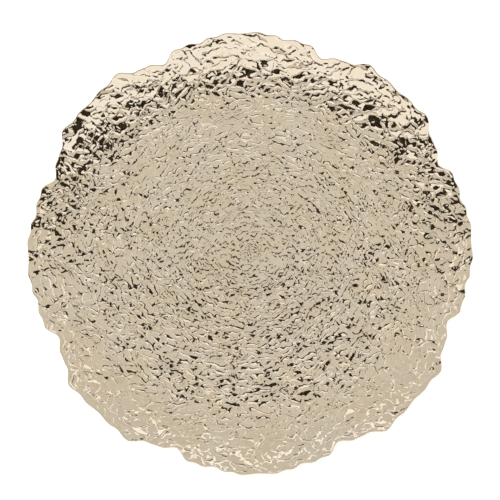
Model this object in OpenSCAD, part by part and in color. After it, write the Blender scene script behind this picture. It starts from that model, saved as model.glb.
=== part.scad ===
// Charger plate with a ruffled rim, standing on four stick-on pads. All lengths in millimetres.
// The origin is the middle of the resting plane, +Z is up, and +X runs through a wide rim lobe.

/* [Plate] */
// Overall width across two opposite wide lobes of the rim
plate_d = 330; // [270:5:400]
// Height from the table to the highest point of the rim
plate_h = 19; // [15:0.5:23]
// Width of the border, from the edge of the flat floor to the edge of the rim
border_w = 52; // [43:1:65]
// Radius of the bend from the floor up to the rim, on its upper side
bend_r = 90; // [40:5:95]
// Thickness of the wall under the well
floor_t = 2.4; // [1.8:0.1:3]
// Thickness of the wall at the edge of the rim
rim_t = 1.8; // [1.4:0.1:2.4]

/* [Relief] */
// Distance from ring to ring of the long ridges on the upper side
ridge_pitch = 16; // [14:1:20]
// Distance from ridge to ridge along a ring
ridge_spacing = 24; // [22:1:40]
// Width of a ridge in the well
ridge_w = 2.6; // [2:0.2:4]
// How far a ridge in the well stands up
ridge_h = 0.25; // [0.1:0.05:0.25]
// Width of a ridge on the rim
rim_ridge_w = 5; // [3:0.5:6]
// How far a ridge on the rim stands up
rim_ridge_h = 0.6; // [0.3:0.1:0.8]

/* [Foot ring] */
// How far the ring's outer side lies inside the edge of the floor
foot_ring_inset = 7; // [4:1:20]
// Width of the ring where it joins the underside
foot_ring_w = 3.6; // [2.4:0.2:6]
// Width of the ring at its lower edge
foot_ring_edge_w = 2; // [1.2:0.2:2.4]
// How far the ring stands down from the underside
foot_ring_h = 1.4; // [0.8:0.1:1.6]

/* [Moulding marks] */
// Width of the round recess around the gate
gate_recess_d = 14; // [8:1:20]
// Depth of the recess around the gate
gate_recess_depth = 0.6; // [0.3:0.1:1]
// Width of the stub that the gate leaves
gate_stub_d = 4; // [2:0.5:6]
// Height of the stub that the gate leaves
gate_stub_h = 0.4; // [0.2:0.1:0.8]
// Number of ejector pin marks
pin_count = 8; // [4:1:12]
// Width of the circle that the ejector pin marks stand on
pin_circle_d = 140; // [60:5:150]
// Width of an ejector pin mark
pin_d = 7; // [4:0.5:10]
// Depth of an ejector pin mark
pin_depth = 0.3; // [0.1:0.1:0.6]

/* [Foot pads] */
// Width of a foot pad
pad_d = 11; // [8:0.5:16]
// Height of a foot pad
pad_h = 2; // [1.8:0.1:3]
// Radius of the rounded lower edge of a foot pad
pad_edge_r = 0.8; // [0.3:0.1:1.2]
// Room between a foot pad and the foot ring
pad_clearance = 4; // [1:0.5:12]
// Thickness of the adhesive disc between a pad and the plate
adhesive_t = 0.2; // [0.1:0.05:0.4]
// How far the adhesive disc lies inside the edge of its pad
adhesive_inset = 0.5; // [0.2:0.1:1.5]

/* [Hidden] */

// Length by which every cut and every joined piece runs past the face that it crosses
overrun = 1;
$fn = 96;

// Half of a lobe of the rim, from its middle to the notch beside it. Each row is a turning point of
// the edge: its angle as a share of half a lobe, and its radius as a share of half the plate's width.
wide_lobe_shares = [[0, 0.994], [0.19, 1], [0.31, 0.990], [0.39, 0.992], [0.51, 0.977],
    [0.64, 0.985], [0.74, 0.978], [0.82, 0.980], [1, 0.941]];
high_lobe_shares = [[0, 0.989], [0.18, 0.997], [0.28, 0.993], [0.44, 1.007], [0.65, 0.970],
    [0.82, 0.964], [1, 0.941]];

// Wide and high lobes take turns round the rim, and each is the same on both sides of its middle
lobe_count = 8;
steps_per_half_lobe = 20;

// Heights of the underside and of the top of the floor
under_z = pad_h + adhesive_t;
floor_z = under_z + floor_t;

// Section of the wall: the rim is a straight line from the bend to its highest point, and the bend
// is tightened where it would run past that point
floor_r = plate_d / 2 - border_w;
rim_tip_r = plate_d / 2 * max([for (row = high_lobe_shares) row[1]]);
floor_to_tip = [rim_tip_r - floor_r, plate_h - floor_z];
longest_bend_r = norm(floor_to_tip) * norm(floor_to_tip) / (2 * floor_to_tip[1]);
wall_bend_r = min(bend_r, 0.98 * longest_bend_r);
bend_steps = 12;
bend_to_tip = floor_to_tip - [0, wall_bend_r];
rim_angle = asin(wall_bend_r / norm(bend_to_tip)) + atan2(bend_to_tip[1], bend_to_tip[0]);
outer_point = [rim_tip_r + overrun, plate_h + overrun * tan(rim_angle)];

// Long ridges: their rings start outside the middle and stop inside the notches of the rim
first_ridge_ring = 2;
notch_r = plate_d / 2 * wide_lobe_shares[len(wide_lobe_shares) - 1][1];
rim_ridge_l = 18;
last_ridge_ring = floor((notch_r - rim_ridge_l / 2) / ridge_pitch);
well_ridge_l = 13;
ridge_l_sway = 3;
ridge_root = rim_t / 2;

// Places on the underside
foot_ring_outer_r = floor_r - foot_ring_inset;
foot_ring_inner_r = foot_ring_outer_r - foot_ring_w;
pad_place_r = foot_ring_inner_r - pad_clearance - pad_d / 2;
front_angle = 270;
right_angle = 0;
back_angle = 90;
left_angle = 180;

// Value at x of a curve that runs level through every turning point and eases between them
function eased(rows, x, i = 0) =
    x <= rows[i + 1][0] || i == len(rows) - 2
    ? let (t = (x - rows[i][0]) / (rows[i + 1][0] - rows[i][0]))
      rows[i][1] + (rows[i + 1][1] - rows[i][1]) * (1 - cos(180 * t)) / 2
    : eased(rows, x, i + 1);

// Radius of the rim's edge at one step, counted from the middle of a wide lobe
function rim_r(step) =
    let (lobe_steps = 2 * steps_per_half_lobe)
    let (lobe = floor(step / lobe_steps + 1 / 2))
    let (x = abs(step - lobe * lobe_steps) / steps_per_half_lobe)
    plate_d / 2 * eased(lobe % 2 == 0 ? wide_lobe_shares : high_lobe_shares, x);

// Arc about the centre of the bend, from straight below it to where the rim starts
function bend_arc(radius) =
    [for (i = [0 : bend_steps])
        let (a = rim_angle * i / bend_steps)
        [floor_r + radius * sin(a), floor_z + wall_bend_r - radius * cos(a)]];

// Slope and height of the upper side at radius r
function top_slope(r) = asin(min(max(r - floor_r, 0) / wall_bend_r, sin(rim_angle)));
function top_z(r) =
    let (slope = top_slope(r))
    floor_z + wall_bend_r * (1 - cos(slope))
    + max(r - floor_r - wall_bend_r * sin(rim_angle), 0) * tan(rim_angle);

// Number of ridges on one ring, the same in every lobe
function ridge_count(ring) =
    lobe_count * max(round(2 * PI * ridge_pitch * ring / ridge_spacing / lobe_count), 1);

function reversed(points) = [for (i = [len(points) - 1 : -1 : 0]) points[i]];

// Section through half of the wall, thinning from the floor to the edge of the rim
module wall_section() {
    polygon(concat(
        [[0, under_z], [0, floor_z]],
        bend_arc(wall_bend_r),
        [outer_point, outer_point + rim_t * [sin(rim_angle), -cos(rim_angle)]],
        reversed(bend_arc(wall_bend_r + floor_t))));
}

// Ruffled edge of the rim, seen from above
module rim_outline() {
    steps = 2 * lobe_count * steps_per_half_lobe;
    polygon([for (step = [0 : steps - 1])
        let (a = 360 * step / steps)
        rim_r(step) * [cos(a), sin(a)]]);
}

// Plan of a ridge: a straight bar with pointed ends
module ridge_plan(length, width) {
    tip = length / 2;
    side = width / 2;
    polygon([[-tip, 0], [side - tip, -side], [tip - side, -side],
        [tip, 0], [tip - side, side], [side - tip, side]]);
}

// One ridge, level with the upper side at its middle. Its slant and length sway with its number,
// and it repeats in every lobe.
module ridge(ring, i) {
    count = ridge_count(ring);
    number = i % (count / lobe_count) + 2 * ring;
    ring_r = ridge_pitch * ring;
    on_rim = ring_r > floor_r;
    rotate([0, 0, 360 * (i + 1 / 2 + 0.618 * ring % 1) / count])
        translate([ring_r, 0, top_z(ring_r)])
            rotate([0, -top_slope(ring_r), 0])
                rotate([0, 0, 90 + (on_rim ? 38 : 12) + 22 * sin(137.5 * number)])
                    translate([0, 0, -ridge_root])
                        linear_extrude(height = ridge_root + (on_rim ? rim_ridge_h : ridge_h))
                            ridge_plan(
                                (on_rim ? rim_ridge_l : well_ridge_l)
                                + ridge_l_sway * cos(100 * number),
                                on_rim ? rim_ridge_w : ridge_w);
}

module ridges() {
    for (ring = [first_ridge_ring : last_ridge_ring])
        for (i = [0 : ridge_count(ring) - 1])
            ridge(ring, i);
}

module foot_ring() {
    taper = (foot_ring_w - foot_ring_edge_w) / 2;
    rotate_extrude()
        polygon([
            [foot_ring_inner_r, under_z + floor_t / 2],
            [foot_ring_inner_r, under_z],
            [foot_ring_inner_r + taper, under_z - foot_ring_h],
            [foot_ring_outer_r - taper, under_z - foot_ring_h],
            [foot_ring_outer_r, under_z],
            [foot_ring_outer_r, under_z + floor_t / 2]]);
}

module gate_recess() {
    translate([0, 0, under_z - overrun])
        cylinder(d = gate_recess_d, h = gate_recess_depth + overrun);
}

module gate_stub() {
    translate([0, 0, under_z + gate_recess_depth - gate_stub_h])
        cylinder(d = gate_stub_d, h = gate_stub_h + (floor_t - gate_recess_depth) / 2);
}

module pin_marks() {
    for (i = [0 : pin_count - 1])
        rotate([0, 0, 360 * (i + 1 / 2) / pin_count])
            translate([pin_circle_d / 2, 0, under_z - overrun])
                cylinder(d = pin_d, h = pin_depth + overrun);
}

// The plate: one moulding with its foot ring and the marks of its mould
module plate_body() {
    color("#d8c7a6") {
        difference() {
            intersection() {
                rotate_extrude() wall_section();
                linear_extrude(height = plate_h + overrun) rim_outline();
            }
            gate_recess();
            pin_marks();
        }
        ridges();
        foot_ring();
        gate_stub();
    }
}

// A clear pad with a flat lower face and a rounded lower edge, at one angle round the plate
module foot_pad(angle) {
    color("#dfe3e0", 0.8)
        rotate([0, 0, angle])
            translate([pad_place_r, 0, 0])
                rotate_extrude() {
                    square([pad_d / 2 - pad_edge_r, pad_h]);
                    translate([0, pad_edge_r]) square([pad_d / 2, pad_h - pad_edge_r]);
                    translate([pad_d / 2 - pad_edge_r, pad_edge_r])
                        intersection() {
                            circle(r = pad_edge_r);
                            translate([0, -pad_edge_r]) square(pad_edge_r);
                        }
                }
}

// The adhesive disc that holds the pad at the same angle
module pad_adhesive(angle) {
    color("#c9c4b2", 0.7)
        rotate([0, 0, angle])
            translate([pad_place_r, 0, pad_h])
                cylinder(d = pad_d - 2 * adhesive_inset, h = adhesive_t);
}

plate_body();
foot_pad(front_angle);  // foot_pad_front
foot_pad(right_angle);  // foot_pad_right
foot_pad(back_angle);  // foot_pad_back
foot_pad(left_angle);  // foot_pad_left
pad_adhesive(front_angle);  // pad_adhesive_front
pad_adhesive(right_angle);  // pad_adhesive_right
pad_adhesive(back_angle);  // pad_adhesive_back
pad_adhesive(left_angle);  // pad_adhesive_left
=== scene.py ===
import math

import bpy
import numpy as np
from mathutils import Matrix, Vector


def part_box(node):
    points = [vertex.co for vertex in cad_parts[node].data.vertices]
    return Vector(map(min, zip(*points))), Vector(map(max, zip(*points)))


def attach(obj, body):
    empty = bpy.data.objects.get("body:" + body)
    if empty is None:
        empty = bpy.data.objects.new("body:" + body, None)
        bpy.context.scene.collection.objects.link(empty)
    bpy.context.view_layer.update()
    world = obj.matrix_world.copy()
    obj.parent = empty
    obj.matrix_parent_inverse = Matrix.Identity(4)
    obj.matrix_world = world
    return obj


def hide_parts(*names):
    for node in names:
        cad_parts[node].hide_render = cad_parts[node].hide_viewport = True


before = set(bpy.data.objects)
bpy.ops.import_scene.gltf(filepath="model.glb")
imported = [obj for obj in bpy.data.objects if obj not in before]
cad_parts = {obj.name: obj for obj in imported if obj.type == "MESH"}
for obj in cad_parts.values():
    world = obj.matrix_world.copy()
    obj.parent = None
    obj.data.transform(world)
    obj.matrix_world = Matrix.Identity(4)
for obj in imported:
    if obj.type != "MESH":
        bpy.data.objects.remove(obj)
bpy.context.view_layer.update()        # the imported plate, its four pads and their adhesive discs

# A charger plate: one moulding with a bright champagne gold coat, on four clear stick-on pads.
# Shapes are worked out in millimetres, in the frame's axes, and go into the meshes in metres.
MM = 0.001
TURN = 2 * math.pi

# Driving dimensions of the plate, in millimetres
PLATE_D = 330.0             # across two opposite wide lobes of the rim
BORDER_W = 52.0             # from the edge of the flat floor to the edge of the rim
BEND_R = 90.0               # upper side of the bend from the floor to the rim
FLOOR_T = 2.4               # wall under the floor
RIM_T = 1.8                 # wall at the edge of the rim
PLATE_H = 19.0              # table to the highest point of the rim
LIP_REACH = 0.9             # how far in the rounding of the edge starts
EDGE_INSET = 0.06           # keeps the rounded edge inside the frame's box

FOOT_RING_INSET = 7.0       # ring's outer side to the edge of the floor
FOOT_RING_W = 3.6
FOOT_RING_EDGE_W = 2.0
FOOT_RING_H = 1.4
CORNER_R = 0.25             # rounding at the corners of the underside
GATE_RECESS_D = 14.0
GATE_RECESS_DEPTH = 0.6
GATE_RECESS_SIDE = (0.1, 0.1)       # how far its sloping side reaches inwards and outwards
GATE_STUB_D = 4.0
GATE_STUB_H = 0.4
GATE_STUB_SIDE = (0.15, 0.05)
PIN_COUNT = 8
PIN_CIRCLE_D = 140.0
PIN_D = 7.0
PIN_DEPTH = 0.3
PIN_SIDE = (0.9, 0.2)

# The ruffled edge, half a lobe from its middle to the notch beside it. Each row is a turning point:
# its angle as a share of half a lobe, and its radius as a share of half the plate's width.
LOBE_COUNT = 8
WIDE_LOBE_SHARES = np.array([
    (0, 0.994), (0.19, 1), (0.31, 0.990), (0.39, 0.992), (0.51, 0.977),
    (0.64, 0.985), (0.74, 0.978), (0.82, 0.980), (1, 0.941)])
HIGH_LOBE_SHARES = np.array([
    (0, 0.989), (0.18, 0.997), (0.28, 0.993), (0.44, 1.007), (0.65, 0.970),
    (0.82, 0.964), (1, 0.941)])

# Heights and radii that follow from them
UNDER_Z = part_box("pad_adhesive_front")[1].z / MM
FLOOR_Z = UNDER_Z + FLOOR_T
EDGE_R = PLATE_D / 2
FLOOR_R = EDGE_R - BORDER_W
TIP_R = EDGE_R * HIGH_LOBE_SHARES[:, 1].max()
BEND_CENTRE_Z = FLOOR_Z + BEND_R
RIM_ANGLE = (math.asin(BEND_R / math.hypot(TIP_R - FLOOR_R, PLATE_H - BEND_CENTRE_Z))
             + math.atan2(PLATE_H - BEND_CENTRE_Z, TIP_R - FLOOR_R))

# Relief of the upper side: chips that lie in rings, long along the ring and small at the middle
RELIEF_SEED = 11
SECTORS = 8                 # times that the relief repeats round the plate
CHIP_W_MIDDLE = 2.6         # ring to ring at the middle of the plate
CHIP_W_EDGE = 5.4           # ring to ring at the edge of the plate
CHIP_L_MIDDLE = 6.0         # chip to chip along a ring, at the middle
CHIP_L_EDGE = 20.0          # the same at the edge
CHIP_HALF_SHARES = (0.30, 0.68)     # half a chip's length, as shares of the distance to the next
CHIP_SHIFT_SHARES = (0.24, 0.22)    # spread of its place across and along, as shares of its cell
CHIP_BEND = 0.16            # spread of the rise of a chip's arc, as a share of half its length
CHIP_LIFT = 0.028           # spread of the heights of the tops of the chips
CHIP_TILT = 0.011           # spread of their slopes
CHIP_REACH = (3, 5)         # distances across and along the ring over which a top stays tilted
WELL_SLANT = 0.30           # spread of the chips' directions about their ring, in radians
RIM_SLANT = 0.70
SLANT_BLEND_W = 40.0        # from the floor's edge to where the rim's spread holds
PAST_EDGE_W = 12.0          # how far rings of chips go on past the edge, which cuts them
ARC_LEVEL_SHARE = 0.4       # how far an arc's middle lies behind its line, as a share of its rise
WOBBLE = 0.40               # spread of how far the lines of the chips stray
WOBBLE_L = 6.0
WAVE_L_SHARES = (0.7, 1.5)          # shortest and longest wave of a noise, as shares of its length

RIDGE_PITCH = 16.0          # ring to ring of the long ridges that stand above the chips
RIDGE_SPACING = 24.0        # ridge to ridge along a ring
RIDGE_RINGS = (2, 9)        # first and last ring that has ridges
RIDGE_L = 13.0              # middle length of a ridge in the well
RIM_RIDGE_L = 18.0          # the same on the rim
RIDGE_L_SWAY = 3.0
RIDGE_SLANT = 12            # degrees from the ring in the well
RIM_RIDGE_SLANT = 38        # the same on the rim
RIDGE_SLANT_SWAY = 22
RIDGE_SLANT_TURN = 137.5    # degrees that the wave of the slants moves on from ridge to ridge
RIDGE_L_TURN = 100          # the same of the lengths
RIDGE_STAGGER_SHARE = 0.618         # by this share of their spacing each ring is turned on
RIDGE_GAIN = 0.45           # how much nearer a ridge counts than it is
RIDGE_LIFT = 0.22           # top of a ridge over the tops of the chips
RIM_SWELL = 0.40            # height of the wide swell under a ridge on the rim
RIM_SWELL_W = 2.4           # distance at which that swell has fallen to a third

# Valleys between the chips. Each pair holds at the middle of the plate and from FULL_SIZE_R out.
FULL_SIZE_R = 100.0
SLOPE_HALF_W = (1.3, 2.2)   # middle of a valley to where a chip's gentle shoulder starts
SLOPE_DEPTH = (0.15, 0.20)  # what the shoulder falls by
VALLEY_HALF_W = (1.0, 1.50)         # middle of a valley to where its steeper sides start
VALLEY_DEPTH = (0.05, 0.42)         # what the steeper sides add
VALLEY_BREAKS = (0.6, 0.12)         # spread of the depth of a valley along it, as a share

SHOULDER_POWER = 1.3        # how sharply a shoulder falls
SIDE_POWER = 2              # how sharply a steeper side does
RIM_VALLEY_SHARE = 0.60     # depth of the valleys on the rim, as a share of the depth in the well
RIM_VALLEY_RADII = (105.0, 150.0)   # where the one depth changes into the other
BREAK_L = 5.0
BREAK_LEAN = 0.4            # how much shallower the valleys are, as a share of that spread
BREAK_LIMITS = (0.05, 2.0)
PATCH_SWAY = 0.20           # spread of the depth between wide patches of the plate, as a share
PATCH_L = 30.0
PATCH_LIMITS = (0.4, 1.6)
RIPPLE_H = 0.04             # spread of the heights of the fine ripple on the bend and the rim
RIPPLE_L = 3.6
RIPPLE_BLEND_W = 10.0       # how far the ripple fades in on both sides of the floor's edge
SWELL_BLEND_W = 12.0        # from the floor's edge to where the swells are whole
FOLD_DEPTH = 0.30           # spread of the heights of the rim's wide waves
FOLD_L = 15.0
FOLD_RADII = (134.0, 156.0)         # where those waves fade in
EDGE_CALM = 0.55            # how much flatter the relief is along the edge
EDGE_CALM_FROM_EDGE = (1.0, 5.0)    # distances between which it comes back
TOPS_BELOW = 0.2            # middle height of the tops of the chips, under the frame's surface

# Smooth tilted facet at one corner of every high lobe
FACET_ANGLE = math.radians(11.5)
FACET_R = 157.0
FACET_L = 13.0
FACET_W = 11.0
FACET_TILT = 0.10
FACET_BLEND_SHARES = (0.55, 1.15)   # from the whole facet to none, as shares of its half size
FACET_CALM = 0.9            # how much flatter the chips are on it
FACET_FOLD_CALM = 0.7       # how much flatter the folds and swells are on it

# Grid of the plate's surface
TOP_STEP = 0.36             # ring to ring on the upper side
SLOPE_STEP = 0.12           # step over which the slope of the relief is taken
UNDER_STEP = 2.0            # ring to ring on the underside
LIP_STEPS = 7
MESH_NORMAL_RINGS = 4       # rings beside the lip whose directions come from the mesh
RUFFLE_START_W = 12.0       # from the floor's edge to where the rings start to follow the ruffles
TOP_COLUMNS = 2048          # points round the upper side, halved where the rings get small
UNDER_COLUMNS = TOP_COLUMNS // 2    # the same on the underside
HALVING_RADII = (80.0, 40.0, 20.0, 10.0, 5.0, 2.5)
LIP_START = EDGE_R - LIP_REACH

# Closed pieces that the plate is cut into, for their triangles, by inner and outer radius
BANDS = {
    "plate_well_centre": (0.0, 52.0),
    "plate_well_middle": (52.0, 80.0),
    "plate_well_outer": (80.0, 94.5),
    "plate_well_edge": (94.5, 107.5),
    "plate_bend_inner": (107.5, 122.5),
    "plate_bend_outer": (122.5, 137.0),
    "plate_rim_inner": (137.0, 152.0),
    "plate_rim_outer": (152.0, LIP_START),
}
SEAM_RADII = sorted({r for band in BANDS.values() for r in band})


# Shapes of the plate

def smooth(x, low, high):
    """Rises from 0 at low to 1 at high, level at both ends."""
    t = np.clip((x - low) / (high - low), 0, 1)
    return t * t * (3 - 2 * t)


def eased(rows, x):
    """Curve that is level at each turning point of rows and runs between them as half a cosine."""
    i = np.clip(np.searchsorted(rows[:, 0], x, side="right") - 1, 0, len(rows) - 2)
    share = (x - rows[i, 0]) / (rows[i + 1, 0] - rows[i, 0])
    return rows[i, 1] + (rows[i + 1, 1] - rows[i, 1]) * (1 - np.cos(np.pi * share)) / 2


def rim_radius(angle):
    """Radius of the ruffled edge: wide and high lobes in turn, each the same on both sides."""
    lobe_angle = TURN / LOBE_COUNT
    lobe = np.floor(angle / lobe_angle + 0.5)
    x = np.abs(angle - lobe * lobe_angle) / (lobe_angle / 2)
    shares = np.where(lobe % 2 == 0, eased(WIDE_LOBE_SHARES, x), eased(HIGH_LOBE_SHARES, x))
    return EDGE_R * shares - EDGE_INSET


def bend_height(r, radius):
    """Height at r of the arc of that radius about the middle of the bend, level inside the floor."""
    x = np.clip(r - FLOOR_R, 0, radius * math.sin(RIM_ANGLE))
    return BEND_CENTRE_Z - np.sqrt(radius ** 2 - x ** 2)


def top_height(r):
    """Flat floor, then the arc of the bend, then the straight slope of the rim."""
    straight = np.maximum(r - FLOOR_R - BEND_R * math.sin(RIM_ANGLE), 0)
    return bend_height(r, BEND_R) + straight * math.tan(RIM_ANGLE)


def under_height(r):
    """The same on the underside, where the wall thins evenly along the rim."""
    start = FLOOR_R + (BEND_R + FLOOR_T) * math.sin(RIM_ANGLE)
    start_z = BEND_CENTRE_Z - (BEND_R + FLOOR_T) * math.cos(RIM_ANGLE)
    end = TIP_R + RIM_T * math.sin(RIM_ANGLE)
    end_z = PLATE_H - RIM_T * math.cos(RIM_ANGLE)
    straight = np.maximum(r - start, 0) * (end_z - start_z) / (end - start)
    return bend_height(r, BEND_R + FLOOR_T) + straight


def waves(places, length, seed, count=24):
    """Even noise of spread 1: a sum of plane waves of about that length in random directions.
    places are the coordinates, two or three arrays."""
    rng = np.random.default_rng(seed)
    total = np.zeros_like(places[0])
    for _ in range(count):
        heading = rng.normal(0, 1, len(places))
        wave_l = length * rng.uniform(*WAVE_L_SHARES)
        heading *= TURN / wave_l / np.linalg.norm(heading)
        total += np.sin(sum(h * p for h, p in zip(heading, places)) + rng.uniform(0, TURN))
    return total * math.sqrt(2 / count)


def repeating(r, angle):
    """Three coordinates that are the same in every sector of the plate: each sector of a ring is
    rolled into a circle of that length."""
    return r / SECTORS * np.cos(SECTORS * angle), r / SECTORS * np.sin(SECTORS * angle), r


def chip_lattice():
    """Rings of chips, wider apart outwards by a steady growth, with the random facts of each chip
    in one sector of the plate: its place, direction, length, bend, height and tilt."""
    rng = np.random.default_rng(RELIEF_SEED)
    growth = (CHIP_W_EDGE - CHIP_W_MIDDLE) / EDGE_R
    reach = TIP_R + PAST_EDGE_W
    count = int(math.log(1 + growth * reach / CHIP_W_MIDDLE) / growth) + 1
    ring_r = CHIP_W_MIDDLE / growth * (np.exp(growth * (np.arange(count) + 0.5)) - 1)
    ring_l = CHIP_L_MIDDLE + (CHIP_L_EDGE - CHIP_L_MIDDLE) * np.clip(ring_r / EDGE_R, 0, 1)
    on_rim = smooth(ring_r, FLOOR_R, FLOOR_R + SLANT_BLEND_W)
    spread = WELL_SLANT + (RIM_SLANT - WELL_SLANT) * on_rim
    per_sector = np.maximum(np.round(TURN * ring_r / ring_l / SECTORS), 1).astype(int)
    size = (len(ring_r), per_sector.max())
    return {
        "ring_of": lambda r: np.log(1 + growth * r / CHIP_W_MIDDLE) / growth,
        "ring_r": ring_r,
        "ring_w": CHIP_W_MIDDLE + growth * ring_r,
        "length": ring_l,
        "gain": 0.0,
        "reach": (3, 1),
        "per_sector": per_sector,
        "stagger": rng.uniform(0, 1, len(ring_r)),
        "shift_r": rng.normal(0, CHIP_SHIFT_SHARES[0], size),
        "shift_t": rng.normal(0, CHIP_SHIFT_SHARES[1], size),
        "heading": np.pi / 2 + spread[:, None] * rng.normal(0, 1, size),
        "half": rng.uniform(*CHIP_HALF_SHARES, size),
        "bend": rng.normal(0, CHIP_BEND, size),
        "lift": rng.normal(0, CHIP_LIFT, size),
        "tilt_r": rng.normal(0, CHIP_TILT, size),
        "tilt_t": rng.normal(0, CHIP_TILT, size),
    }


def ridge_lattice():
    """Long ridges, the ones that the solid has too: they win over the chips near them, run roughly
    along the rings in the well, and slant across them on the rim. Their slants and lengths follow
    sine waves of the ridge's number, with no chance in them."""
    ring = np.arange(RIDGE_RINGS[0], RIDGE_RINGS[1] + 1)
    ring_r = RIDGE_PITCH * ring
    per_sector = np.maximum(np.round(TURN * ring_r / RIDGE_SPACING / SECTORS), 1).astype(int)
    number = np.arange(per_sector.max())[None, :] + 2 * ring[:, None]
    slant = (np.where(ring_r > FLOOR_R, RIM_RIDGE_SLANT, RIDGE_SLANT)[:, None]
             + RIDGE_SLANT_SWAY * np.sin(np.radians(RIDGE_SLANT_TURN * number)))
    length = np.where(ring_r > FLOOR_R, RIM_RIDGE_L, RIDGE_L)[:, None]
    sway = np.cos(np.radians(RIDGE_L_TURN * number))
    none = np.zeros(number.shape)
    return {
        "ring_of": lambda r: r / RIDGE_PITCH - RIDGE_RINGS[0] + 0.5,
        "ring_r": ring_r,
        "ring_w": none[:, 0],
        "length": none[:, 0] + 1,
        "gain": RIDGE_GAIN,
        "reach": (1, 1),
        "per_sector": per_sector,
        "stagger": RIDGE_STAGGER_SHARE * ring % 1,
        "shift_r": none,
        "shift_t": none,
        "heading": np.radians(90 + slant),
        "half": (length + RIDGE_L_SWAY * sway) / 2,
        "bend": CHIP_BEND * sway,
        "lift": none + RIDGE_LIFT,
        "tilt_r": none,
        "tilt_t": none,
    }


def chip_relief(r, angle):
    """Height of the top that each point lies on, how much further the second nearest line is than
    the nearest, and the distance from a ridge. Every chip or ridge is a short bent line, a point
    belongs to the nearest line, and a valley runs where two lines are equally near."""
    nearest = np.full(r.shape, np.inf)
    second = np.full(r.shape, np.inf)
    from_ridge = np.full(r.shape, np.inf)
    top = np.zeros_like(r)
    for lattice in (chip_lattice(), ridge_lattice()):
        rings, columns = lattice["reach"]
        last = len(lattice["ring_r"]) - 1
        here = np.floor(lattice["ring_of"](r)).astype(int)
        for ring_step in range(-rings, rings + 1):
            ring = np.clip(here + ring_step, 0, last)
            used = ring == here + ring_step
            per_sector = lattice["per_sector"][ring]
            ring_chips = SECTORS * per_sector
            column_here = np.floor(angle / TURN * ring_chips - lattice["stagger"][ring]).astype(int)
            for column_step in range(-columns, columns + 1):
                column = column_here + column_step
                cell = (ring, column % per_sector)
                place = column + 0.5 + lattice["stagger"][ring] + lattice["shift_t"][cell]
                place_t = place / ring_chips * TURN
                place_r = lattice["ring_r"][ring] + lattice["shift_r"][cell] * lattice["ring_w"][ring]
                out = r * np.cos(angle - place_t) - place_r
                aside = r * np.sin(angle - place_t)
                heading = lattice["heading"][cell]
                half = lattice["half"][cell] * lattice["length"][ring]
                along = out * np.cos(heading) + aside * np.sin(heading)
                across = aside * np.cos(heading) - out * np.sin(heading)
                across = across - lattice["bend"][cell] * (
                    np.clip(along, -half, half) ** 2 / half - ARC_LEVEL_SHARE * half)
                past = np.maximum(np.abs(along) - half, 0)
                distance = np.where(used, np.hypot(past, across) - lattice["gain"], np.inf)
                if lattice["gain"]:
                    from_ridge = np.minimum(from_ridge, distance + lattice["gain"])
                closer = distance < nearest
                second = np.where(closer, nearest, np.minimum(second, distance))
                own = (lattice["lift"][cell]
                       + lattice["tilt_r"][cell] * np.clip(out, -CHIP_REACH[0], CHIP_REACH[0])
                       + lattice["tilt_t"][cell] * np.clip(aside, -CHIP_REACH[1], CHIP_REACH[1]))
                top = np.where(closer, own, top)
                nearest = np.where(closer, distance, nearest)
    return top, second - nearest, from_ridge


def corner_facets(r, angle):
    """Share of the smooth facet at the left corner of every high lobe, and the height of its
    steeper slope, which rises outwards through the facet's middle."""
    lobe_to_lobe = 2 * TURN / LOBE_COUNT
    from_middle = angle % lobe_to_lobe - lobe_to_lobe / 2
    aside = (from_middle - FACET_ANGLE) * r
    out = r - FACET_R
    from_centre = np.hypot(aside / (FACET_L / 2), out / (FACET_W / 2))
    share = 1 - smooth(from_centre, *FACET_BLEND_SHARES)
    return share, FACET_TILT * out * share


def relief(x, y):
    """Height of the whole relief of the upper side: wobbling chips and ridges, whose shoulders fall
    gently and then steeply into the valleys, with patches where the valleys are shallow, and folds
    on the rim."""
    wobble_x = x + WOBBLE * waves((x, y), WOBBLE_L, seed=21)
    wobble_y = y + WOBBLE * waves((x, y), WOBBLE_L, seed=22)
    r = np.hypot(wobble_x, wobble_y)
    angle = np.arctan2(wobble_y, wobble_x) % TURN
    places = repeating(r, angle)
    top, gap, from_ridge = chip_relief(r, angle)
    facet, facet_z = corner_facets(r, angle)

    def sized(pair):
        """Middle value of the pair at the middle of the plate, the outer one from FULL_SIZE_R."""
        return pair[0] + (pair[1] - pair[0]) * np.clip(r / FULL_SIZE_R, 0, 1)

    shoulder = np.clip(1 - gap / (2 * sized(SLOPE_HALF_W)), 0, 1) ** SHOULDER_POWER
    side = np.clip(1 - gap / (2 * sized(VALLEY_HALF_W)), 0, 1) ** SIDE_POWER
    patch = np.clip(1 + PATCH_SWAY * waves(places, PATCH_L, seed=23), *PATCH_LIMITS)
    sway = sized(VALLEY_BREAKS)
    broken = np.clip(1 - BREAK_LEAN * sway + sway * waves(places, BREAK_L, seed=25), *BREAK_LIMITS)
    share = patch * broken * (1 - (1 - RIM_VALLEY_SHARE) * smooth(r, *RIM_VALLEY_RADII))
    valley = (sized(SLOPE_DEPTH) * shoulder + sized(VALLEY_DEPTH) * side) * share
    from_edge = rim_radius(angle) - r
    calm = (1 - FACET_CALM * facet) * (
        1 - EDGE_CALM * (1 - smooth(from_edge, *EDGE_CALM_FROM_EDGE)))
    fold = FOLD_DEPTH * (waves(places, FOLD_L, seed=26) - 1) * smooth(r, *FOLD_RADII)
    swell = (RIM_SWELL * np.exp(-(from_ridge / RIM_SWELL_W) ** 2)
             * smooth(r, FLOOR_R, FLOOR_R + SWELL_BLEND_W))
    ripple = (RIPPLE_H * waves(places, RIPPLE_L, seed=27)
              * smooth(r, FLOOR_R - RIPPLE_BLEND_W, FLOOR_R + RIPPLE_BLEND_W))
    return ((top - valley + ripple) * calm + facet_z
            + (fold + swell) * (1 - FACET_FOLD_CALM * facet))


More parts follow.
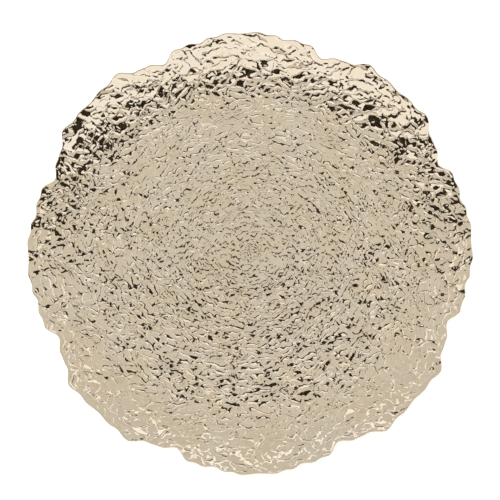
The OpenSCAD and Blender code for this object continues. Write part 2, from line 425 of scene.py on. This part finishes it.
def upper_surface(x, y):
    """Height of the upper side: its plain shape, lowered by TOPS_BELOW, and its relief."""
    return top_height(np.hypot(x, y)) - TOPS_BELOW + relief(x, y)


def under_details(r):
    """Foot ring, gate recess and gate stub, as a height added to the plain underside."""
    outer = FLOOR_R - FOOT_RING_INSET
    inner = outer - FOOT_RING_W
    taper = (FOOT_RING_W - FOOT_RING_EDGE_W) / 2
    ring = np.interp(r, [inner, inner + taper, outer - taper, outer], [0, 1, 1, 0])
    recess = np.interp(r, [GATE_RECESS_D / 2 - GATE_RECESS_SIDE[0],
                           GATE_RECESS_D / 2 + GATE_RECESS_SIDE[1]], [1, 0])
    stub = np.interp(r, [GATE_STUB_D / 2 - GATE_STUB_SIDE[0],
                         GATE_STUB_D / 2 + GATE_STUB_SIDE[1]], [1, 0])
    return GATE_RECESS_DEPTH * recess - FOOT_RING_H * ring - GATE_STUB_H * stub


def pin_marks(x, y):
    """Depth of the round marks of the ejector pins, with soft edges."""
    depth = np.zeros_like(x)
    for i in range(PIN_COUNT):
        a = TURN * (i + 0.5) / PIN_COUNT
        d = np.hypot(x - PIN_CIRCLE_D / 2 * math.cos(a), y - PIN_CIRCLE_D / 2 * math.sin(a))
        inside = 1 - smooth(d, PIN_D / 2 - PIN_SIDE[0], PIN_D / 2 + PIN_SIDE[1])
        depth = np.maximum(depth, PIN_DEPTH * inside)
    return depth


# Mesh of the plate: rings of points from the middle of the upper side, over the edge, to the
# middle of the underside

def ring_radii(step):
    """Radii from the first ring to the lip, no further apart than step, one on every seam."""
    parts = []
    for low, high in zip(SEAM_RADII, SEAM_RADII[1:]):
        count = math.ceil((high - low) / step)
        parts.append(np.linspace(low, high, count + 1)[1:])
    return np.concatenate(parts)


def under_radii():
    """The same on the underside, with rings close together at each corner of its details."""
    outer = FLOOR_R - FOOT_RING_INSET
    inner = outer - FOOT_RING_W
    taper = (FOOT_RING_W - FOOT_RING_EDGE_W) / 2
    corners = np.array([inner, inner + taper, outer - taper, outer,
                        GATE_RECESS_D / 2, GATE_STUB_D / 2])
    close = np.concatenate([corners - CORNER_R, corners, corners + CORNER_R])
    even = ring_radii(UNDER_STEP)
    far = np.abs(even[:, None] - corners[None, :]).min(1) > 2 * CORNER_R
    on_seam = np.abs(even[:, None] - np.array(SEAM_RADII)[None, :]).min(1) < 1e-6
    return np.unique(np.concatenate([even[far | on_seam], close]))


def ring_grid(q, most):
    """Ring numbers, angles and radii of all points of the rings q. Rings near the edge follow its
    ruffles, rings inside the bend stay round, and the point at the middle is added by the caller."""
    counts = np.array([most // 2 ** sum(value < limit for limit in HALVING_RADII) for value in q])
    ring = np.repeat(np.arange(len(q)), counts)
    first = np.concatenate([[0], np.cumsum(counts)[:-1]])
    angle = (np.arange(len(ring)) - first[ring]) * TURN / counts[ring]
    follow = smooth(q[ring], FLOOR_R + RUFFLE_START_W, LIP_START)
    r = q[ring] + (rim_radius(angle) - LIP_REACH - LIP_START) * follow
    return counts, angle, r


def strip(prev, prev_count, nxt, next_count):
    """Triangles between two neighbouring rings, each given by its first point and its number of
    points. A ring may have as many points as the other, twice or half as many, or just one."""
    i = np.arange(min(max(prev_count, 1), max(next_count, 1)) if min(prev_count, next_count) > 1
                  else max(prev_count, next_count))
    j = (i + 1) % len(i)
    if next_count == 1:
        rows = [(prev + i, nxt + 0 * i, prev + j)]
    elif prev_count == 1:
        rows = [(prev + 0 * i, nxt + i, nxt + j)]
    elif prev_count == next_count:
        rows = [(prev + i, nxt + i, nxt + j), (prev + i, nxt + j, prev + j)]
    else:
        a, b, c = 2 * i, 2 * i + 1, (2 * i + 2) % (2 * len(i))
        if next_count > prev_count:
            rows = [(prev + i, nxt + a, nxt + b), (prev + i, nxt + b, prev + j),
                    (prev + j, nxt + b, nxt + c)]
        else:
            rows = [(nxt + i, prev + b, prev + a), (nxt + i, nxt + j, prev + b),
                    (nxt + j, prev + c, prev + b)]
    return np.concatenate([np.stack(row, 1) for row in rows])


def plate_surface():
    """Points and ring list of the whole plate, and the direction that each point of the upper side
    faces. The ring list has for each ring its first point, its number of points, its radius and
    its side."""
    top_q = ring_radii(TOP_STEP)
    counts, angle, r = ring_grid(top_q, TOP_COLUMNS)
    angle, r = np.append(0, angle), np.append(0, r)
    x, y = r * np.cos(angle), r * np.sin(angle)
    surface = upper_surface(x, y)
    top = np.stack([x, y, surface], 1)
    slopes = [(upper_surface(x + dx, y + dy) - surface) / SLOPE_STEP
              for dx, dy in ((SLOPE_STEP, 0), (0, SLOPE_STEP))]
    facing = np.stack([-slopes[0], -slopes[1], np.ones_like(x)], 1)
    rings = [(0, 1, 0.0, "top")]
    for count, q in zip(counts, top_q):
        rings.append((rings[-1][0] + rings[-1][1], int(count), float(q), "top"))

    # the lip turns round half an ellipse, from the last ring of the upper side to the underside
    last = slice(len(top) - TOP_COLUMNS, len(top))
    turn = (np.arange(1, LIP_STEPS + 1) / (LIP_STEPS + 1) * math.pi)[:, None]
    lip_r = r[last] + LIP_REACH * np.sin(turn)
    upper = top_height(lip_r) + surface[last] - top_height(r[last])
    lower = under_height(lip_r)
    lip_z = (upper + lower) / 2 + (upper - lower) / 2 * np.cos(turn)
    lip = np.stack([lip_r * np.cos(angle[last]), lip_r * np.sin(angle[last]), lip_z], 2)
    for _ in range(LIP_STEPS):
        rings.append((rings[-1][0] + rings[-1][1], TOP_COLUMNS, LIP_START, "lip"))

    under_q = under_radii()[::-1]
    counts, angle, r = ring_grid(under_q, UNDER_COLUMNS)
    angle, r = np.append(angle, 0), np.append(r, 0)
    x, y = r * np.cos(angle), r * np.sin(angle)
    under = np.stack([x, y, under_height(r) + under_details(r) + pin_marks(x, y)], 1)
    for count, q in zip(counts, under_q):
        rings.append((rings[-1][0] + rings[-1][1], int(count), float(q), "under"))
    rings.append((rings[-1][0] + rings[-1][1], 1, 0.0, "under"))

    return np.concatenate([top, lip.reshape(-1, 3), under]), rings, facing


def vertex_normals(points, triangles):
    """Mean direction of the triangles at each point, weighted by their areas."""
    a, b, c = (points[triangles[:, k]] for k in range(3))
    face = np.cross(b - a, c - a)
    index = triangles.ravel()
    normal = np.stack([np.bincount(index, np.repeat(face[:, k], 3), len(points))
                       for k in range(3)], 1)
    return normal / np.maximum(np.linalg.norm(normal, axis=1), 1e-9)[:, None]


def plate_pieces():
    """Cuts the plate's surface into its bands, each closed by walls where the next band starts.
    The normals come from the whole surface, so that no seam shows."""
    points, rings, facing = plate_surface()
    strips = []
    for a, b in zip(rings, rings[1:]):
        side = "lip" if "lip" in (a[3], b[3]) else a[3]
        strips.append((strip(a[0], a[1], b[0], b[1]), (a[2] + b[2]) / 2, side))
    normals = vertex_normals(points, np.concatenate([s[0] for s in strips]))
    inner = len(facing) - MESH_NORMAL_RINGS * TOP_COLUMNS
    normals[:inner] = (facing / np.linalg.norm(facing, axis=1)[:, None])[:inner]
    at = {(round(q, 4), side): (first, count) for first, count, q, side in rings}
    pieces = {}
    for name, (low, high) in BANDS.items():
        parts = [(t, side == "under") for t, q, side in strips
                 if low < q < high or (high == LIP_START and side == "lip")]
        if high < LIP_START:
            parts.append((strip(*at[round(high, 4), "top"], *at[round(high, 4), "under"]), True))
        if low > 0:
            parts.append((strip(*at[round(low, 4), "under"], *at[round(low, 4), "top"]), True))
        triangles = np.concatenate([t for t, _ in parts])
        satin = np.concatenate([np.full(len(t), is_under) for t, is_under in parts])
        used, local = np.unique(triangles, return_inverse=True)
        pieces[name] = make_mesh(name, points[used] * MM, local.reshape(-1, 3),
                                 normals[used], satin)
    return pieces


def make_mesh(name, points, triangles, normals, satin):
    """Mesh object from arrays, smooth, with its own normals and two finishes."""
    mesh = bpy.data.meshes.new(name)
    mesh.vertices.add(len(points))
    mesh.vertices.foreach_set("co", points.ravel())
    mesh.loops.add(triangles.size)
    mesh.loops.foreach_set("vertex_index", triangles.ravel().astype(np.int32))
    mesh.polygons.add(len(triangles))
    mesh.polygons.foreach_set("loop_start", np.arange(0, triangles.size, 3, dtype=np.int32))
    mesh.polygons.foreach_set("material_index", satin.astype(np.int32))
    mesh.update(calc_edges=True)
    mesh.shade_smooth()
    mesh.normals_split_custom_set_from_vertices(normals)
    piece = bpy.data.objects.new(name, mesh)
    bpy.context.scene.collection.objects.link(piece)
    return piece


# Materials
NOISE_SPAN = {"From Min": 0.3, "From Max": 0.7}     # nearly all values of a noise lie in it


def linear(code):
    """Linear colour of an sRGB hex code."""
    parts = [int(code[i:i + 2], 16) / 255 for i in (1, 3, 5)]
    return (*[v / 12.92 if v <= 0.04045 else ((v + 0.055) / 1.055) ** 2.4 for v in parts], 1.0)


def node(tree, kind, settings=None, inputs=None):
    """Adds one node with its settings, among them the stops of a ramp as places and colour codes.
    Each input is set to a value, or linked where it is another node's socket."""
    made = tree.nodes.new("ShaderNode" + kind)
    for key, value in (settings or {}).items():
        if key == "stops":
            elements = made.color_ramp.elements
            while len(elements) < len(value):
                elements.new(0.5)
            for element, (place, code) in zip(elements, value):
                element.position = place
                element.color = linear(code)
        else:
            setattr(made, key, value)
    for key, value in (inputs or {}).items():
        if isinstance(value, bpy.types.NodeSocket):
            tree.links.new(value, made.inputs[key])
        else:
            made.inputs[key].default_value = value
    return made


def new_material(name):
    """Empty node material, its node tree, and the Object coordinates that its patterns read."""
    material = bpy.data.materials.new(name)
    material.use_nodes = True
    tree = material.node_tree
    tree.nodes.clear()
    return material, tree, node(tree, "TexCoord").outputs["Object"]


def per_metre(size):
    """Scale of a noise whose patches are about that many millimetres wide."""
    return 1 / (size * MM)


def gold_lacquer():
    """Vacuum-metallised plastic under a champagne lacquer: a mirror with a warm tint that drifts a
    little, and the faint orange peel of a dried coat."""
    material, tree, place = new_material("champagne_metallised_lacquer")
    drift = node(tree, "TexNoise", inputs={"Vector": place, "Scale": per_metre(26.0), "Detail": 3.0})
    tone = node(tree, "ValToRGB", {"stops": [(0.35, "#FBEBD3"), (0.65, "#FDF0DD")]},
                {"Fac": drift.outputs["Fac"]})
    spots = node(tree, "TexNoise", inputs={"Vector": place, "Scale": per_metre(9.0), "Detail": 3.0})
    haze = node(tree, "MapRange", inputs={
        "Value": spots.outputs["Fac"], **NOISE_SPAN, "To Min": 0.03, "To Max": 0.06})
    peel = node(tree, "TexNoise", inputs={"Vector": place, "Scale": per_metre(1.3), "Detail": 1.0})
    bump = node(tree, "Bump", inputs={"Height": peel.outputs["Fac"], "Strength": 0.1,
                                      "Distance": 0.02 * MM})
    shader = node(tree, "BsdfPrincipled", inputs={
        "Base Color": tone.outputs["Color"], "Metallic": 1.0,
        "Roughness": haze.outputs["Result"], "Normal": bump.outputs["Normal"]})
    node(tree, "OutputMaterial", inputs={"Surface": shader.outputs["BSDF"]})
    return material


def satin_spray():
    """Sprayed gold paint on the underside: satin, with fine grain from dry overspray. The grain is
    drawn at 0.8 mm, coarser than it is, so that it shows."""
    material, tree, place = new_material("satin_gold_spray_paint")
    drift = node(tree, "TexNoise", inputs={"Vector": place, "Scale": per_metre(18.0), "Detail": 3.0})
    tone = node(tree, "ValToRGB", {"stops": [(0.35, "#DCC9A4"), (0.65, "#E6D6B6")]},
                {"Fac": drift.outputs["Fac"]})
    grain = node(tree, "TexNoise", inputs={"Vector": place, "Scale": per_metre(0.8), "Detail": 2.0})
    haze = node(tree, "MapRange", inputs={
        "Value": grain.outputs["Fac"], **NOISE_SPAN, "To Min": 0.36, "To Max": 0.5})
    bump = node(tree, "Bump", inputs={"Height": grain.outputs["Fac"], "Strength": 0.5,
                                      "Distance": 0.08 * MM})
    shader = node(tree, "BsdfPrincipled", inputs={
        "Base Color": tone.outputs["Color"], "Metallic": 1.0, "Roughness": haze.outputs["Result"],
        "Normal": bump.outputs["Normal"]})
    node(tree, "OutputMaterial", inputs={"Surface": shader.outputs["BSDF"]})
    return material


def clear_polyurethane():
    """Cast polyurethane of a stick-on pad: clear with a soft shine and a trace of haze."""
    material, tree, place = new_material("clear_cast_polyurethane")
    cloud = node(tree, "TexNoise", inputs={"Vector": place, "Scale": per_metre(3.0), "Detail": 3.0})
    haze = node(tree, "MapRange", inputs={
        "Value": cloud.outputs["Fac"], **NOISE_SPAN, "To Min": 0.16, "To Max": 0.3})
    shader = node(tree, "BsdfPrincipled", inputs={
        "Base Color": linear("#EEF1EC"), "Roughness": haze.outputs["Result"], "IOR": 1.5,
        "Transmission Weight": 0.85})
    node(tree, "OutputMaterial", inputs={"Surface": shader.outputs["BSDF"]})
    return material


def acrylic_adhesive():
    """Acrylic foam adhesive: a milky film with small bubbles."""
    material, tree, place = new_material("milky_acrylic_adhesive")
    foam = node(tree, "TexNoise", inputs={"Vector": place, "Scale": per_metre(1.2), "Detail": 3.0})
    bubbles = node(tree, "ValToRGB", {"stops": [(0.4, "#CFCBBB"), (0.6, "#E4E1D4")]},
                   {"Fac": foam.outputs["Fac"]})
    shader = node(tree, "BsdfPrincipled", inputs={
        "Base Color": bubbles.outputs["Color"], "Roughness": 0.45, "IOR": 1.47,
        "Transmission Weight": 0.35})
    node(tree, "OutputMaterial", inputs={"Surface": shader.outputs["BSDF"]})
    return material


# The plate takes the place of its solid, and the pads and discs keep theirs
FINISHES = (gold_lacquer(), satin_spray())
for piece in plate_pieces().values():
    for finish in FINISHES:
        piece.data.materials.append(finish)
    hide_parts("plate_body")
    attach(piece, "root")

PAD_FINISH = clear_polyurethane()
ADHESIVE_FINISH = acrylic_adhesive()
for place in ("front", "right", "back", "left"):
    for name, finish in (("foot_pad_", PAD_FINISH), ("pad_adhesive_", ADHESIVE_FINISH)):
        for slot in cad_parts[name + place].material_slots:
            slot.material = finish


# Camera: nearly overhead, a metre away, with the plate turned slightly in the picture
PHOTO_TURN = math.radians(-2.2)
ELEVATION = math.radians(84.0)
DISTANCE = 1000.0
SENSOR_W = 36.0
PICTURE_PIXELS = 500        # width of the picture
HALF_PLATE_PIXELS = 222.5   # middle of the plate to its edge in it
PIXELS_PER_MM = HALF_PLATE_PIXELS / EDGE_R
AIM = Vector((0, 0, 15.0 * MM))

back = Vector((math.sin(PHOTO_TURN) * math.cos(ELEVATION),
               -math.cos(PHOTO_TURN) * math.cos(ELEVATION), math.sin(ELEVATION)))
camera = bpy.data.objects.new("camera", bpy.data.cameras.new("camera"))
bpy.context.scene.collection.objects.link(camera)
camera.data.sensor_width = SENSOR_W
camera.data.lens = PIXELS_PER_MM * DISTANCE * SENSOR_W / PICTURE_PIXELS
camera.location = AIM + back * DISTANCE * MM
camera.rotation_mode = "QUATERNION"
camera.rotation_quaternion = (-back).to_track_quat("-Z", "Y")
bpy.context.scene.camera = camera
bpy.context.scene.view_settings.view_transform = "Standard"


# Studio: a white floor under a plain room of cards. Grey cloth hangs over the plate, a black flag
# just in front of straight up, and white cloth round them. Only the gloss sees the cards, and they
# light nothing.
ROOM_H = 20.0               # metres, far enough for every part of the plate to see alike
CLOTH_FOLD_W = 2.0          # metres, width of the soft folds of the cloths
WHITE_EDGE = 44.0           # degrees from straight up to the white cloth on both sides
WALL_EDGE = 60.0            # the same to the walls
FLAG_EDGES = (-17.0, -0.6)  # the same to the flag's front and back edges
FRONT_EDGE = -42.0          # the same to the front light
BACK_EDGE = 46.0            # the same to the back light
FLOOR_GLOW = 0.5
SKY_LIGHT = 0.75            # strength of the world where it lights the plate, and 1 where it is seen
GLOSS_ONLY = ("visible_camera", "visible_diffuse", "visible_shadow", "visible_transmission")


def place_card(name, corners, faces, finish, hidden):
    """Sheet of the studio, turned as the picture is. The corners are in metres."""
    c, s = math.cos(PHOTO_TURN), math.sin(PHOTO_TURN)
    mesh = bpy.data.meshes.new(name)
    mesh.from_pydata([(x * c - y * s, x * s + y * c, z) for x, y, z in corners], [], faces)
    card = bpy.data.objects.new(name, mesh)
    bpy.context.scene.collection.objects.link(card)
    card.data.materials.append(finish)
    for ray in hidden:
        setattr(card, ray, False)


def ceiling_card(name, across, along, finish):
    """Rectangle of the ceiling between two angles across and two along, in degrees from straight
    up over the plate's middle."""
    x, y = ([ROOM_H * math.tan(math.radians(a)) for a in pair] for pair in (across, along))
    corners = [(x[0], y[0], ROOM_H), (x[1], y[0], ROOM_H), (x[1], y[1], ROOM_H), (x[0], y[1], ROOM_H)]
    place_card(name, corners, [(0, 1, 2, 3)], finish, GLOSS_ONLY)


def seen_rays(tree):
    """1 for camera, glossy and transmission rays, else 0."""
    path = node(tree, "LightPath")
    both = node(tree, "Math", {"operation": "MAXIMUM"},
                {0: path.outputs["Is Camera Ray"], 1: path.outputs["Is Glossy Ray"]})
    return node(tree, "Math", {"operation": "MAXIMUM"},
                {0: both.outputs[0], 1: path.outputs["Is Transmission Ray"]}).outputs[0]


def floor_paint():
    """Matt white paint that also glows for what looks at it, so that it reads as white but keeps
    the plate's shadow."""
    material, tree, _ = new_material("matt_white_floor_paint")
    glow = node(tree, "Math", {"operation": "MULTIPLY"}, {0: seen_rays(tree), 1: FLOOR_GLOW})
    paint = node(tree, "BsdfDiffuse", inputs={"Color": linear("#E6E6E6")})
    light = node(tree, "Emission", inputs={"Strength": glow.outputs[0]})
    both = node(tree, "AddShader", inputs={0: paint.outputs[0], 1: light.outputs[0]})
    node(tree, "OutputMaterial", inputs={"Surface": both.outputs[0]})
    return material


def lit_cloth(name, front, back, sway=0.04):
    """Glow of a cloth, whose colour changes evenly from over the plate to the back light, and whose
    strength sways about 1 in soft folds."""
    material, tree, place = new_material(name)
    y = node(tree, "SeparateXYZ", inputs={0: place}).outputs["Y"]
    share = node(tree, "MapRange", inputs={
        "Value": y, "From Max": ROOM_H * math.tan(math.radians(BACK_EDGE))})
    tone = node(tree, "ValToRGB", {"stops": [(0.0, front), (1.0, back)]},
                {"Fac": share.outputs["Result"]})
    folds = node(tree, "TexNoise", inputs={
        "Vector": place, "Scale": 1 / CLOTH_FOLD_W, "Detail": 2.0})
    level = node(tree, "MapRange", inputs={
        "Value": folds.outputs["Fac"], **NOISE_SPAN, "To Min": 1 - sway, "To Max": 1 + sway})
    light = node(tree, "Emission", inputs={
        "Color": tone.outputs["Color"], "Strength": level.outputs["Result"]})
    node(tree, "OutputMaterial", inputs={"Surface": light.outputs[0]})
    return material


FLOOR_HALF_W = 3 * ROOM_H
WALL = ROOM_H * math.tan(math.radians(WALL_EDGE))
SQUARE = np.array([(-1, -1), (1, -1), (1, 1), (-1, 1)])
place_card("floor", [(*corner, 0.0) for corner in FLOOR_HALF_W * SQUARE], [(0, 1, 2, 3)],
           floor_paint(), ())
place_card("walls", [(*corner, z) for z in (0.0, ROOM_H) for corner in WALL * SQUARE],
           [(i, (i + 1) % 4, (i + 1) % 4 + 4, i + 4) for i in range(4)],
           lit_cloth("grey_wall_cloth", "#8F8C85", "#8F8C85"), GLOSS_ONLY)

WHITE_CLOTH = lit_cloth("white_cloth", "#F5F4F1", "#F5F4F1")
INSIDE = (-WHITE_EDGE, WHITE_EDGE)
EVERYWHERE = (-WALL_EDGE, WALL_EDGE)
ceiling_card("ceiling", INSIDE, (FLAG_EDGES[1], BACK_EDGE),
             lit_cloth("grey_cloth", "#D2CFC6", "#C2BFB7", sway=0.14))
ceiling_card("flag", EVERYWHERE, FLAG_EDGES,
             lit_cloth("black_cloth", "#302A20", "#302A20", sway=0.9))
ceiling_card("softbox", EVERYWHERE, (FRONT_EDGE, FLAG_EDGES[0]), WHITE_CLOTH)
ceiling_card("left_cloth", (-WALL_EDGE, -WHITE_EDGE), (FLAG_EDGES[1], BACK_EDGE), WHITE_CLOTH)
ceiling_card("right_cloth", (WHITE_EDGE, WALL_EDGE), (FLAG_EDGES[1], BACK_EDGE), WHITE_CLOTH)
ceiling_card("front_light", EVERYWHERE, (-WALL_EDGE, FRONT_EDGE),
             lit_cloth("lit_front_cloth", "#FFFFFF", "#FFFFFF"))
ceiling_card("back_light", EVERYWHERE, (BACK_EDGE, WALL_EDGE),
             lit_cloth("lit_back_cloth", "#FFFFFF", "#FFFFFF"))

world = bpy.data.worlds.new("white_room")
bpy.context.scene.world = world
world.use_nodes = True
world.node_tree.nodes.clear()
level = node(world.node_tree, "MapRange", inputs={
    "Value": seen_rays(world.node_tree), "To Min": SKY_LIGHT, "To Max": 1.0})
sky = node(world.node_tree, "Background", inputs={"Strength": level.outputs["Result"]})
node(world.node_tree, "OutputWorld", inputs={"Surface": sky.outputs[0]})

lamp = bpy.data.objects.new("soft_overhead_lamp", bpy.data.lights.new("soft_overhead_lamp", "SUN"))
lamp.data.energy = 1.0
lamp.data.angle = math.radians(40)
lamp.rotation_euler = (math.radians(-12), math.radians(-10), 0)
lamp.visible_glossy = False
bpy.context.scene.collection.objects.link(lamp)
